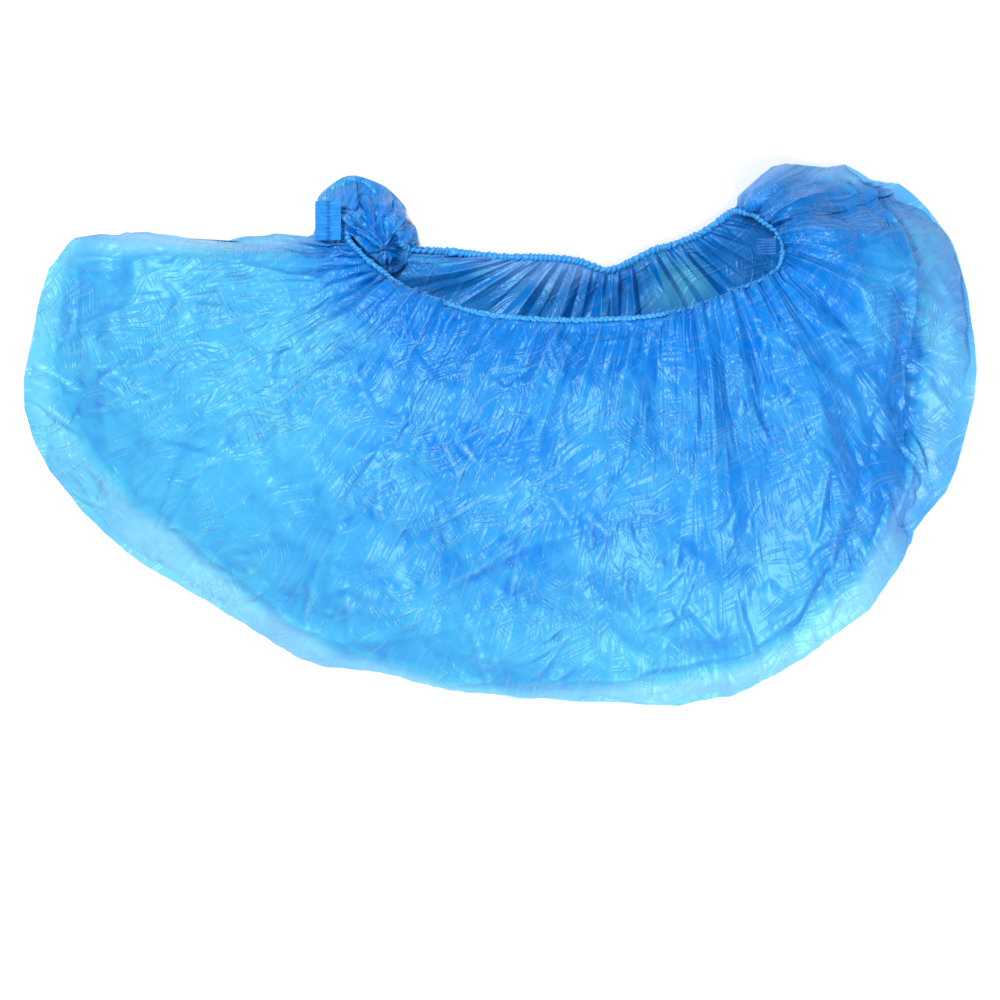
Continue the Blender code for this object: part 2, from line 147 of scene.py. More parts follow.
# Outline of the film seen from above, from the toe end of the mouth round to its heel
# end, in millimetres from the cover's middle: (x, y)
OUTLINE = (
    (-38.2, 78.1), (-36.5, 81.9), (-35.7, 87.8), (-39.9, 90.3), (-39.9, 95.8), (-44.1, 98.3),
    (-48.3, 104.2), (-57.5, 107.1), (-60.5, 108.8), (-68.5, 106.7), (-74.8, 100.0), (-76.9, 94.5),
    (-76.9, 87.8), (-78.1, 84.4), (-81.9, 83.2), (-94.5, 84.4), (-105.0, 83.6), (-115.5, 81.1),
    (-126.0, 82.3), (-147.0, 83.2), (-168.0, 82.7), (-178.5, 81.5), (-181.4, 79.4), (-189.0, 70.1),
    (-194.0, 53.3), (-199.5, 23.9), (-199.5, 11.3), (-195.7, -2.9), (-189.0, -14.7), (-178.5, -28.1),
    (-168.0, -39.1), (-157.5, -49.1), (-147.0, -55.4), (-134.4, -63.0), (-119.7, -71.8), (-97.4, -85.3),
    (-82.7, -93.2), (-73.5, -96.2), (-63.0, -97.4), (-50.0, -98.7), (-42.0, -101.2), (-31.5, -103.7),
    (-21.8, -106.7), (-10.5, -107.9), (0.4, -109.6), (25.2, -111.3), (45.4, -112.1), (63.0, -113.0),
    (74.8, -113.8), (84.0, -111.7), (97.0, -109.6), (105.0, -106.3), (115.5, -100.4), (128.5, -92.8),
    (136.5, -86.5), (147.0, -79.0), (154.6, -73.5), (157.9, -69.3), (168.0, -53.3), (173.0, -44.9),
    (173.9, -40.3), (178.5, -34.4), (187.3, -23.5), (191.1, -14.7), (194.9, -2.1), (199.1, 14.7),
    (199.9, 27.3), (199.1, 41.2), (196.6, 56.7), (191.5, 75.2), (188.2, 82.7), (178.5, 95.8),
    (173.0, 101.6), (168.0, 105.0), (161.7, 105.8), (155.4, 107.1), (150.4, 110.5), (144.9, 113.4),
    (135.2, 111.7), (126.0, 110.0), (115.5, 107.1), (109.2, 105.0), (105.0, 102.9), (102.5, 97.9),
    (99.5, 93.7), (97.0, 93.7),
)

# Inside this line the film lies doubled and looks deeper blue: (x, y) in millimetres
DOUBLED = (
    (-172.2, 72.7), (-79.8, 74.3), (-65.1, 81.9), (25.2, 56.7), (100.8, 90.3), (126.0, 102.9),
    (158.8, 100.4), (170.1, 77.7), (176.4, 44.1), (176.0, 14.7), (170.1, -14.7), (159.6, -35.7),
    (147.0, -58.8), (129.8, -74.3), (123.1, -82.7), (101.6, -93.2), (74.8, -99.5), (51.2, -101.6),
    (25.2, -103.3), (8.4, -104.6), (-21.8, -101.2), (-42.0, -94.5), (-62.6, -89.5), (-84.0, -78.5),
    (-107.5, -61.7), (-122.2, -50.4), (-134.4, -39.1), (-151.2, -27.3), (-168.0, -10.5),
    (-180.6, 10.5), (-186.9, 27.3), (-184.8, 52.5), (-178.5, 67.2),
)

# Folds of the upper wall: height, width and step in millimetres, then the line that the
# fold follows. A valley has a negative height. step raises the side that lies to the
# left of the line, where one fold of film lies over the next.
CREASES = (
    # Toe flap, and the short dent under it
    (1.4, 1.6, 0.0, ((-178.5, 72.7), (-147.0, 72.7), (-111.3, 72.7), (-84.0, 75.2))),
    (-1.8, 1.6, 0.0, ((-176.4, 67.2), (-176.8, 54.6), (-177.2, 42.0))),
    # Folds along the sole
    (1.8, 1.8, 0.8, ((-134.4, -39.1), (-122.2, -50.4), (-107.5, -61.7), (-89.5, -76.4), (-71.4, -85.3),
                     (-62.6, -89.5))),
    (1.8, 1.8, 0.6, ((-56.7, -85.3), (-39.9, -79.8), (-28.6, -69.7), (-15.1, -61.7), (0.4, -50.4),
                     (11.8, -45.8), (42.0, -37.0))),
    (1.3, 1.2, 0.0, ((-56.7, -85.3), (-33.2, -82.3), (-5.0, -76.9), (6.3, -69.7))),
    (0.8, 1.0, 0.0, ((-73.5, -96.2), (-37.8, -96.6))),
    (1.4, 1.4, 0.8, ((-21.8, -106.3), (11.8, -103.7), (42.0, -102.9), (74.8, -99.5), (101.6, -93.2),
                     (123.1, -79.8), (129.8, -69.7))),
    # Heel: the upright fold and the broad valley beside it
    (0.5, 1.2, 2.6, ((175.6, 2.1), (176.4, 44.1), (170.1, 77.7), (159.6, 100.8))),
    (-3.5, 7.0, 0.0, ((147.8, -2.1), (152.5, -18.9), (147.8, -39.1), (142.4, -52.5), (133.1, -71.8),
                      (124.3, -83.2))),
    # Sweeps from the hem down to the sole and the toe
    (2.2, 2.6, 0.0, ((84.0, 44.1), (102.9, 27.3), (121.8, 2.1), (138.6, -14.7))),
    (2.0, 2.6, 0.0, ((79.8, 42.0), (84.0, 6.3), (75.6, -35.7), (69.3, -69.3))),
    (-2.0, 3.2, 0.0, ((58.8, 42.0), (58.8, 2.1), (42.0, -35.7))),
    (1.9, 2.4, 0.0, ((0.0, 39.9), (-29.4, 6.3), (-63.0, -27.3), (-71.4, -65.1))),
    (2.1, 2.6, 0.0, ((-50.4, 44.1), (-92.4, 14.7), (-142.8, -2.1))),
    (-1.8, 3.0, 0.0, ((-33.6, 37.8), (-44.1, 2.1), (-84.0, -27.3))),
    (2.0, 2.2, 0.0, ((25.2, 39.9), (18.9, 2.1), (0.0, -50.4))),
    (1.8, 2.4, 0.0, ((100.8, 44.1), (126.0, 31.5), (147.0, 14.7), (155.4, -2.1))),
    # Pleats that arc from the mouth over the heel horn
    (-1.7, 1.5, 0.0, ((104.2, 91.1), (115.5, 100.8), (131.9, 108.4), (146.6, 113.0))),
    (-1.9, 1.5, 0.0, ((113.8, 87.8), (121.8, 97.4), (134.8, 104.2), (147.8, 105.8))),
    (-2.0, 1.7, 0.0, ((147.8, 105.8), (154.6, 96.2), (162.5, 86.9))),
    (1.5, 1.5, 0.0, ((151.2, 112.1), (157.5, 109.2), (164.2, 87.8))),
    (-1.5, 2.0, 0.0, ((162.5, 87.8), (147.8, 74.8), (131.9, 61.7))),
    (-1.6, 1.6, 0.0, ((116.0, 83.0), (135.0, 88.0), (150.0, 82.0))),
    (1.3, 1.5, 0.0, ((117.0, 78.0), (133.0, 76.0), (150.0, 70.0))),
)

# Where the film puffs out over the hem and hides it: section of the upper wall, reach
# towards the mouth, lift and the film length that it takes, all in millimetres, and how
# deep the gathers are there
RUFFLE_NAMES = ("section", "inward", "lift", "length", "pleats")
RUFFLES = (
    (0.0, 0.0, 0.0, 16.0, 0.6),
    (1.0, 0.0, 1.0, 18.0, 0.8),
    (3.0, 0.0, 3.0, 20.0, 1.0),
    (5.0, 0.0, 3.0, 20.0, 1.0),
    (7.0, 0.0, 1.5, 16.0, 0.7),
    (9.0, 0.0, 1.5, 20.0, 0.5),
    (14.5, 0.0, 1.0, 20.0, 0.5),
    (15.5, 4.5, 2.5, 20.0, 0.7),
    (17.0, 4.5, 2.5, 20.0, 0.7),
    (18.0, 0.0, 1.0, 20.0, 0.5),
    (21.5, 0.0, 1.0, 20.0, 0.5),
    (22.5, 5.0, 3.0, 22.0, 1.2),
    (24.0, 6.0, 3.5, 22.0, 1.7),
    (25.5, 6.0, 3.5, 22.0, 1.7),
    (26.5, 5.0, 3.0, 24.0, 1.0),
    (28.5, 5.0, 3.5, 28.0, 1.0),
    (29.5, 0.0, 5.0, 28.0, 1.4),
    (32.0, 0.0, 6.0, 30.0, 1.9),
    (35.0, 0.0, 7.0, 26.0, 1.9),
    (37.0, 0.0, 3.0, 18.0, 1.3),
    (38.0, 0.0, 0.0, 14.0, 1.0),
)

# Bunched film that puffs out over the hem and hides it: the edge of each puff as
# (x, y, z) in millimetres, its middle, how high it stands over its edge, the number of
# pleats round it and their depth, and the flat cut of its film in metres
PUFF_NAMES = ("edge", "middle", "lift", "pleats", "depth", "flat")
PUFFS = {
    "toe_horn_film": (
        (
            (-76.5, 98.7, 3.5), (-68.5, 106.7, 1.5), (-60.5, 108.8, 1.0), (-48.3, 104.2, 1.0),
            (-39.9, 95.8, 1.0), (-39.9, 90.3, 1.0), (-35.7, 87.8, 1.0), (-34.6, 82.0, 1.5),
            (-36.5, 76.5, 2.5), (-40.5, 70.5, 5.0), (-46.0, 67.5, 9.5), (-51.5, 72.5, 12.0),
            (-57.0, 77.5, 12.0), (-61.5, 82.5, 11.5), (-66.5, 86.5, 10.5), (-69.5, 93.0, 9.0),
        ),
        (-47.5, 78.5), 9.0, 21, 1.5, (0.055, 0.055),
    ),
}

# Gathers that fan out from a hem: pitch at the hem, the distance where they are
# deepest, and their depth, in millimetres
GATHERS = (
    (2.9, 3.5, 0.6),
    (5.5, 9.0, 1.5),
    (11.0, 20.0, 2.2),
    (24.0, 42.0, 2.8),
)

# Crumples all over the film: facet size in millimetres and slope
CRUMPLES = (
    (58.0, 0.11),
    (31.0, 0.14),
    (16.0, 0.13),
    (8.5, 0.12),
    (5.0, 0.10),
    (3.0, 0.08),
)

# Straight sharp creases in fans: how many, fans of how many, shortest and longest,
# height and width in millimetres
MARK_NAMES = ("count", "fan", "shortest", "longest", "height", "width")
MARKS = (
    (260, 2, 14.0, 52.0, 0.80, 1.10),
    (420, 3, 7.0, 18.0, 0.60, 0.95),
    (1300, 6, 3.0, 8.0, 0.30, 0.80),
)

# Places where the film lies denser or clearer than around them: x, y and radius in
# millimetres, and how much denser. Those in the heel's broad valley and the toe's dent
# are painted shade.
PATCHES = (
    (-57.0, 84.0, 22.0, 0.40),
    (-60.0, 102.0, 13.0, 0.12),
    (118.0, 84.0, 26.0, 0.34),
    (82.0, 48.0, 17.0, 0.30),
    (78.0, 63.0, 14.0, -0.95),
    (-30.0, 52.0, 24.0, 0.16),
    (170.0, 5.0, 40.0, -0.06),
    # Painted shade along the heel's broad valley
    (149.0, -15.0, 17.0, 0.20),
    (146.0, -45.0, 12.0, 0.12),
    # Painted shade in the toe's dent
    (-177.0, 55.0, 9.0, 0.20),
)

# Columns of film from one section to the next, and rows of each kind of film
steps_per_section = 34
upper_rows = 213
back_rows = 51
puff_rings = 73
# How far a puff's gathers reach from its middle
puff_reach = 30 * mm
# Tint of the sheen on every piece of film
sheen = (0.5, 0.85, 1.0, 1)

# The upper wall is made in three meshes that meet along the columns of these sections:
# first and last section, and the flat cut of their film in metres
SEAMS = {
    "film_upper_toe": (0, 13, (0.100, 0.080)),
    "film_upper_sole": (13, 26, (0.220, 0.200)),
    "film_upper_heel": (26, 38, (0.160, 0.140)),
}


# Values of the film's points: density with painted shade, paleness with painted highlights, and how
# crinkled it is
LOOKS = ("density_and_shade", "pale", "crisp")


# Seal tabs: how many ribs, and how much deeper than the hem's their blue is, as painted shade
TABS = {
    "toe_seal_tab": (10, 0.25),
    "heel_seal_tab": (6, 1.3),
}
tab_thickness = 0.7 * mm
# The fold across each tab, darkened by painted shade: its place and width as shares of the tab's length
tab_fold = 0.52
tab_fold_width = 0.08


def named(rows, names):
    """The rows of a table as one array for each named column."""
    return dict(zip(names, np.array(rows, float).T))


def smooth_curve(points, steps, closed=False):
    """Samples of a Catmull-Rom curve through the points, steps of them to a stretch."""
    points = np.asarray(points, float)
    if closed:
        padded = np.vstack([points[-1:], points, points[:2]])
    else:
        padded = np.vstack([2 * points[:1] - points[1:2], points, 2 * points[-1:] - points[-2:-1]])
    p0, p1, p2, p3 = (padded[k:len(padded) - 3 + k, None, :] for k in range(4))
    t = (np.arange(steps) / steps)[None, :, None]
    bend = 2 * p0 - 5 * p1 + 4 * p2 - p3 + t * (3 * p1 - p0 - 3 * p2 + p3)
    curve = p1 + 0.5 * t * (p2 - p0 + t * bend)
    curve = curve.reshape(-1, points.shape[1])
    return curve if closed else np.vstack([curve, points[-1:]])


def run_length(points):
    """Length along a line of points, from its first point to each of them."""
    pieces = np.linalg.norm(np.diff(points, axis=0), axis=1)
    return np.concatenate([[0], np.cumsum(pieces)])


def resample(points, places, closed=False):
    """Points at the given lengths along a line of points."""
    line = np.vstack([points, points[:1]]) if closed else points
    length = run_length(line)
    return np.column_stack([np.interp(places, length, line[:, k]) for k in range(line.shape[1])])


def plan_x(along):
    """X at a share of the cover's length."""
    return (np.asarray(along) - 0.5) * cover_length


def plan_y(across):
    """Y at a share of the cover's depth."""
    return (np.asarray(across) - 0.5) * cover_depth


def rise(low, high, value):
    """Smooth step: 0 up to low, 1 from high on, 3t^2 - 2t^3 between."""
    t = np.clip((value - low) / (high - low), 0, 1)
    return t * t * (3 - 2 * t)


def lattice(i, j, seed):
    """A repeatable number between -1 and 1 for each corner of a square lattice.

    It is the fraction of a large sine of the corner's place and the seed, made 2f - 1.
    """
    mixed = np.sin(i * 127.1 + j * 311.7 + seed * 74.7) * 43758.5453
    return 2 * (mixed - np.floor(mixed)) - 1


def facets(x, y, size, seed):
    """Crumpled facets: random heights at lattice corners, joined by flat triangles.

    Each cell of the turned lattice is cut along one diagonal, and the height runs in a
    straight slope over each half.
    """
    turn = 0.7 + 1.3 * seed
    u = (x * math.cos(turn) + y * math.sin(turn)) / size
    v = (y * math.cos(turn) - x * math.sin(turn)) / size
    i, j = np.floor(u), np.floor(v)
    fu, fv = u - i, v - j
    near = lattice(i, j, seed)
    far = lattice(i + 1, j + 1, seed)
    right = lattice(i + 1, j, seed)
    left = lattice(i, j + 1, seed)
    low = near + fu * (right - near) + fv * (left - near)
    high = far + (1 - fu) * (left - far) + (1 - fv) * (right - far)
    return np.where(fu + fv < 1, low, high)


def panes(x, y, size, seed):
    """Flat patches: one random tone for each triangle of a square lattice on a bent plane."""
    bent = x + 0.4 * size * swells(x, y, 2 * size, seed + 1)
    u = (0.8 * bent + 0.6 * y) / size
    v = (0.8 * y - 0.6 * bent) / (1.6 * size)
    i, j = np.floor(u), np.floor(v)
    return lattice(i + 0.37 * (u - i + v - j < 1), j, seed)


def swells(x, y, size, seed):
    """Soft noise: random heights at lattice corners, blended by smooth steps."""
    u, v = x / size, y / size
    i, j = np.floor(u), np.floor(v)
    fu, fv = rise(0, 1, u - i), rise(0, 1, v - j)
    lower = lattice(i, j, seed) * (1 - fu) + lattice(i + 1, j, seed) * fu
    upper = lattice(i, j + 1, seed) * (1 - fu) + lattice(i + 1, j + 1, seed) * fu
    return lower * (1 - fv) + upper * fv


def bent_plane(x, y, waves, seed):
    """X and Y shifted by soft noise. waves: shift and size of each noise in millimetres."""
    bent = []
    for plain in (x, y):
        for shift, size in waves:
            plain = plain + shift * mm * swells(x, y, size * mm, seed)
            seed += 1
        bent.append(plain)
    return bent


def crumple(x, y, seed):
    """Relief of crumpled film: facets of several sizes on a plane bent by soft noise."""
    bent_x, bent_y = bent_plane(x, y, ((9, 38), (3, 13)), seed)
    relief = np.zeros_like(x)
    for k, (size, slope) in enumerate(CRUMPLES):
        patchy = 0.55 + 0.45 * swells(x, y, 2.5 * size * mm, seed + 20 + k)
        relief += slope * size * mm * patchy * facets(bent_x, bent_y, size * mm, seed + 10 + k)
    return relief


def patches(x, y):
    """Sum of the patches, each h e^(-(d/r)^2) with d the distance from its middle."""
    total = np.zeros_like(x)
    for px, py, radius, height in PATCHES:
        away = np.hypot(x - px * mm, y - py * mm) / (radius * mm)
        total += height * np.exp(-away ** 2)
    return total


def gathers(along, away, broad, seed):
    """Pleats across a hem: along is the place on the hem, away the distance from it.

    broad is the share of the two widest sizes of pleat. Each size of pleat rises as
    t e^(1-t), with t the distance over that of its greatest depth, so that fine pleats
    die out and wide ones take over.
    """
    relief = np.zeros_like(away)
    for k, (pitch, peak, depth) in enumerate(GATHERS):
        pitch, peak, depth = pitch * mm, peak * mm, depth * mm
        t = away / peak
        wander = 0.6 * pitch * swells(along, away, 4 * pitch, seed + 5 * k)
        u = (along + wander) / pitch
        cell = np.floor(u)
        share = u - cell
        drift = away / (6 * pitch)
        left = swells(cell * 7.3, drift, 1.0, seed + 5 * k + 1)
        right = swells((cell + 1) * 7.3, drift, 1.0, seed + 5 * k + 1)
        zigzag = np.where(cell % 2 == 0, 1 - 2 * share, 2 * share - 1)
        wave = 0.65 * zigzag + 0.7 * (left * (1 - share) + right * share)
        relief += depth * t * np.exp(1 - t) * wave * (1.3 if k < 2 else broad)
    return relief


def line_distance(x, y, line):
    """Distance to a line of points, and on which side of it a place lies (+1: left)."""
    best = np.full(x.shape, 1e9)
    side = np.zeros(x.shape)
    for (ax, ay), (bx, by) in zip(line[:-1], line[1:]):
        dx, dy = bx - ax, by - ay
        run = np.clip(((x - ax) * dx + (y - ay) * dy) / (dx ** 2 + dy ** 2), 0, 1)
        away = np.hypot(x - ax - run * dx, y - ay - run * dy)
        turn = np.sign(dx * (y - ay) - dy * (x - ax))
        closer = away < best
        best = np.where(closer, away, best)
        side = np.where(closer, turn, side)
    return best, side


def creases(x, y):
    """Relief of the long folds: h e^-(sqrt(d^2 + a^2)/w) along each, and one-sided steps."""
    wander_x, wander_y = bent_plane(x, y, ((1.6, 17), (0.5, 6)), 71)
    relief = np.zeros_like(x)
    for height, width, step, line in CREASES:
        points = smooth_curve(np.array(line) * mm, 3)
        away, side = line_distance(wander_x, wander_y, points)
        relief += 0.85 * height * mm * np.exp(-np.hypot(away, 0.9 * mm) / (width * mm))
        relief += step * mm * np.exp(-away / (9 * mm)) * np.clip(side * away / (0.8 * mm), 0, 1)
    return relief


def marks(x, y):
    """Relief of short straight creases, each h e^(-(d/w)^2) across and 1 - (2s/l)^2 along.

    They start in fans from scattered places and mostly point away from the mouth.
    """
    relief = np.zeros_like(x)
    for layer, row in enumerate(MARKS):
        made = dict(zip(MARK_NAMES, row))
        for k in range(made["count"]):
            fan, blade = divmod(k, made["fan"])
            chance = [float(lattice(float(fan), float(n), 80 + layer)) for n in range(4)]
            own = [float(lattice(float(k), float(n), 90 + layer)) for n in range(3)]
            start = np.array([chance[0] * cover_length, chance[1] * cover_depth]) / 2
            mouth = np.array([np.clip(start[0], -50 * mm, 110 * mm), 70 * mm])
            aim = math.atan2(*(start - mouth)[::-1]) + 0.9 * chance[2] + (blade - made["fan"] / 2) * 0.33
            aim += 0.25 * own[0]
            length = made["shortest"] + (made["longest"] - made["shortest"]) * (0.5 + 0.5 * own[1]) ** 2
            middle = start + 0.45 * length * mm * np.array([math.cos(aim), math.sin(aim)])
            reach = (length / 2 + 4 * made["width"]) * mm
            near = np.nonzero((np.abs(x - middle[0]) < reach) & (np.abs(y - middle[1]) < reach))
            dx, dy = x[near] - middle[0], y[near] - middle[1]
            s = (dx * math.cos(aim) + dy * math.sin(aim)) * 2 / (length * mm)
            d = (dy * math.cos(aim) - dx * math.sin(aim)) / mm + 0.05 * length * own[2] * s ** 2
            height = made["height"] * mm * (1 if own[2] > -0.4 else -1)
            relief[near] += height * np.exp(-(d / made["width"]) ** 2) * np.clip(1 - s ** 2, 0, 1)
    return relief


def inside_line(x, y, line):
    """Signed distance to a closed line, positive inside it."""
    closed = list(line) + [line[0]]
    away = line_distance(x, y, closed)[0]
    crossings = np.zeros(x.shape, int)
    for (ax, ay), (bx, by) in zip(closed[:-1], closed[1:]):
        spans = (ay > y) != (by > y)
        cut = ax + (y - ay) * (bx - ax) / (by - ay + 1e-12)
        crossings += spans & (x < cut)
    return np.where(crossings % 2 == 1, away, -away)


def hem_loop(size, steps):
    """The hem's centre line as a closed curve, with its level outward directions."""
    near = named(SECTIONS, SECTION_NAMES)
    back = named(BACK_HEM, ("along", "across"))
    along = np.concatenate([near["hem_along"], back["along"]])
    across = np.concatenate([near["hem_across"], back["across"]])
    lift = np.concatenate([near["hem_rise"], np.zeros(len(BACK_HEM))])
    height = size.lying_height + lift * (size.mouth_height - size.lying_height)
    loop = smooth_curve(np.column_stack([plan_x(along), plan_y(across), height]), steps, closed=True)
    loop[:, 2] = np.maximum(loop[:, 2], size.lying_height)
    tangent = np.roll(loop, -1, axis=0) - np.roll(loop, 1, axis=0)
    outward = np.column_stack([tangent[:, 1], -tangent[:, 0], np.zeros(len(loop))])
    outward /= np.linalg.norm(outward, axis=1)[:, None]
    return loop, outward


def fold_edge(steps):
    """The film's fold at the outline, one point for each column of both walls.

    Each section's edge point is matched to the nearest place on the outline, and the
    columns between share out the outline's length between them. Facets roughen its plan
    and its height, which sinks to the floor's level at both ends.
    """
    section = named(SECTIONS, SECTION_NAMES)
    knots = np.column_stack([plan_x(section["edge_along"]), plan_y(section["edge_across"])])
    line = np.array(OUTLINE) * mm
    whole = run_length(line)[-1]
    fine = resample(line, np.linspace(0, whole, 4001))
    apart = np.linalg.norm(knots[:, None] - fine[None], axis=2)
    nearest = np.maximum.accumulate(apart.argmin(axis=1) / 4000 * whole)
    nearest[0], nearest[-1] = 0, whole
    count = (len(SECTIONS) - 1) * steps + 1
    places = np.interp(np.arange(count) / steps, np.arange(len(SECTIONS)), nearest)
    plan = resample(line, places)
    flat = 0 * places
    plan += 0.5 * mm * np.column_stack([facets(places, flat, 9 * mm, 5), facets(places, flat, 7 * mm, 6)])
    height = 1.6 * mm + 1.3 * mm * facets(places, flat, 24 * mm, 7)
    height += 0.5 * mm * facets(places, flat, 8 * mm, 8)
    ends = np.minimum(np.arange(count), np.arange(count)[::-1]) / steps
    height = 0.8 * mm + (np.maximum(height, 0.6 * mm) - 0.8 * mm) * rise(0, 2, ends)
    return np.column_stack([plan, height])


def grid_normals(points):
    """Unit normals of a grid of points, turned to point up on the whole."""
    along = np.gradient(points, axis=0)
    across = np.gradient(points, axis=1)
    normal = np.cross(along, across)
    normal /= np.linalg.norm(normal, axis=2)[:, :, None] + 1e-12
    return normal if normal[:, :, 2].mean() > 0 else -normal


def upper_wall(size):
    """Upper wall as a grid [column, row, xyz], with its place along and off the hem.

    A column runs straight in plan from the hem to the fold, its rows closer at both ends.
    Its height falls as 1 - v^p with v from 0 to 1, and where the body is higher than the
    hem it bulges by c^2 sin(pi v^0.8), c being the crest. Ruffles swing its first stretch
    over the hem as a sine, then crumples, gathers and creases are raised along the
    surface's normal.
    """
    steps = steps_per_section
    edge = fold_edge(steps)
    count = len(edge)
    loop, outward = hem_loop(size, steps)
    hem, out = loop[:count], outward[:count]
    section = np.arange(count) / steps
    column = dict(zip(SECTION_NAMES, smooth_curve(SECTIONS, steps).T))
    crest = np.clip(column["crest"], 0, 1)[:, None]

    start = hem + out * (0.7 * size.hem_radius)
    t = np.linspace(0, 1, upper_rows)
    v = (t - 0.11 * np.sin(2 * math.pi * t))[None, :]
    x = start[:, :1] + (edge[:, :1] - start[:, :1]) * v
    y = start[:, 1:2] + (edge[:, 1:2] - start[:, 1:2]) * v
    top, low = start[:, 2:3], edge[:, 2:3]
    z = low + (top - low) * (1 - v ** (1.5 + 1.5 * crest))
    z += np.maximum(size.body_height - top, 0) * crest ** 2 * np.sin(math.pi * v ** 0.8)

    reach = np.linalg.norm(edge[:, :2] - start[:, :2], axis=1)[:, None]
    away = v * reach
    ruffle = named(RUFFLES, RUFFLE_NAMES)
    inward, lift, length = (
        np.interp(section, ruffle["section"], ruffle[name])[:, None] * mm for name in RUFFLE_NAMES[1:4]
    )
    swing = np.clip(away / np.minimum(length, np.maximum(reach, 1 * mm)), 0, 1) ** 0.65
    x -= out[:, :1] * inward * np.sin(math.pi * swing)
    y -= out[:, 1:2] * inward * np.sin(math.pi * swing)
    z += lift * np.sin(math.pi * swing)
    points = np.stack([x, y, z], axis=2)

    hem_step = np.diff(run_length(hem))
    edge_step = np.diff(run_length(edge))
    place = np.concatenate([[0], np.cumsum(np.sqrt(hem_step * edge_step))])[:, None] + 0 * away
    film_length = run_length_rows(points)
    near_edge = rise(0, 14 * mm, reach - away)
    off_hem = rise(0, 5 * mm, film_length)
    ruffled = lift / (9 * mm)
    relief = crumple(x, y, 3) * (0.5 + 0.5 * np.maximum(near_edge, ruffled) + rise(0.162, 0.174, x))
    relief = size.crumple_share * off_hem * (relief + marks(x, y) * (0.6 + 0.4 * near_edge))
    broad = np.interp(section, ruffle["section"], ruffle["pleats"])[:, None]
    pleats = gathers(place, film_length, broad, 11)
    relief += size.gather_share * pleats * rise(0, 7 * mm, reach - away + 4 * mm * ruffled)
    relief += creases(x, y) * rise(0, 6 * mm, reach - away) * off_hem
    points = points + smeared(relief, 2)[:, :, None] * grid_normals(points)
    points[:, :, 2] = np.maximum(points[:, :, 2], 0.5 * mm)
    points[:, -1] = edge
    return points, place, film_length


def run_length_rows(points):
    """Length along each column of a grid, from its first row to each row."""
    pieces = np.linalg.norm(np.diff(points, axis=1), axis=2)
    return np.concatenate([np.zeros((len(points), 1)), np.cumsum(pieces, axis=1)], axis=1)


def back_wall(size):
    """Back wall as a grid [column, row, xyz], with its place along and off the hem.

    Its columns fan from the hem on the floor to the fold at the outline. It leaves the
    hem in gathers, lies on the floor with low crumples, and turns up to the fold.
    """
    steps = steps_per_section
    edge = fold_edge(steps)
    count = len(edge)
    loop, _ = hem_loop(size, steps)
    last = (len(SECTIONS) - 1) * steps
    back = np.vstack([loop[last:], loop[:1]])[::-1]
    whole = run_length(back)[-1]
    section = np.arange(count) / steps
    places = np.interp(section, [0, 6, 32, 38], [0, 0.03, 0.97, 1]) * whole
    hem = resample(back, places)

    t = np.linspace(0, 1, back_rows)[None, :] ** 1.5
    x = hem[:, :1] + (edge[:, :1] - hem[:, :1]) * t
    y = hem[:, 1:2] + (edge[:, 1:2] - hem[:, 1:2]) * t
    reach = np.linalg.norm(edge[:, :2] - hem[:, :2], axis=1)[:, None]
    away = t * reach
    floor = 0.3 * mm
    top = hem[:, 2:3] - 0.4 * size.hem_radius
    z = floor + (top - floor) * (1 - rise(0, 14 * mm, away))
    place = places[:, None] + 0 * away
    pleats = gathers(2.1 * place, away, 1.0, 37)
    raised = np.maximum(1.1 * pleats + 1.3 * mm * rise(0, 5 * mm, away), 0)
    z += size.gather_share * raised * rise(0, 6 * mm, reach - away)
    low_crumple = np.maximum(crumple(x, y, 53), -0.2 * mm)
    low_crumple += np.maximum(marks(x, y), 0)
    z += 0.6 * low_crumple * rise(4 * mm, 30 * mm, away) * rise(0, 12 * mm, reach - away)
    near_edge = 1 - rise(0, 7 * mm, reach - away)
    z += (edge[:, 2:3] - z) * near_edge
    z = np.maximum(z, 0.08 * mm)
    points = np.stack([x, y, z], axis=2)
    points[:, -1] = edge
    return points, place, away


def smeared(values, times):
    """A grid of values averaged with its neighbours several times over."""
    for _ in range(times):
        padded = np.pad(values, 1, mode="edge")
        beside = padded[:-2, 1:-1] + padded[2:, 1:-1] + padded[1:-1, :-2] + padded[1:-1, 2:]
        values = values / 2 + beside / 8
    return values


